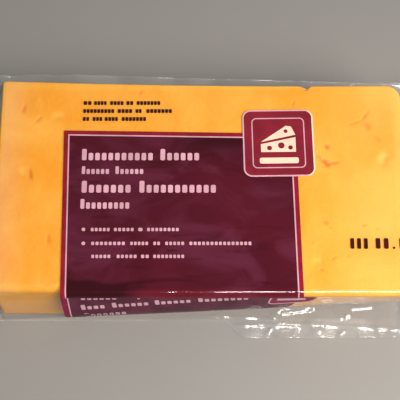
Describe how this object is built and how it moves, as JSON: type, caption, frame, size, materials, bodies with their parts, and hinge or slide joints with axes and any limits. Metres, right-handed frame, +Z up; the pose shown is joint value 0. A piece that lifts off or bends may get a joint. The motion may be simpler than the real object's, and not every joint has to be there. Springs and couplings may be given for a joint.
{
  "type": "film-packed cheddar block",
  "caption": "Block of orange cheddar sealed in clear film with a maroon printed label, lying on its back.",
  "frame": {"origin": "middle of the pack's box, on the surface that the pack lies on", "axes": "+X along the block towards its right end, +Z up out of the printed face, -Y towards the near long side"},
  "size_m": [0.159, 0.0842, 0.025],
  "materials": {
    "film_over_cheddar": "clear glossy film drawn tight over orange cheddar",
    "cheddar": "moist waxy cheese with faint cracks and pits",
    "clear_film": "clear glossy crinkled film",
    "maroon_print": "glossy maroon ink under film",
    "pale_print": "glossy pale pink ink under film",
    "dark_print": "glossy near-black brown ink under film"
  },
  "bodies": {
    "root": {"sealed_cheddar_pack": "film_over_cheddar"}
  },
  "joints": []
}
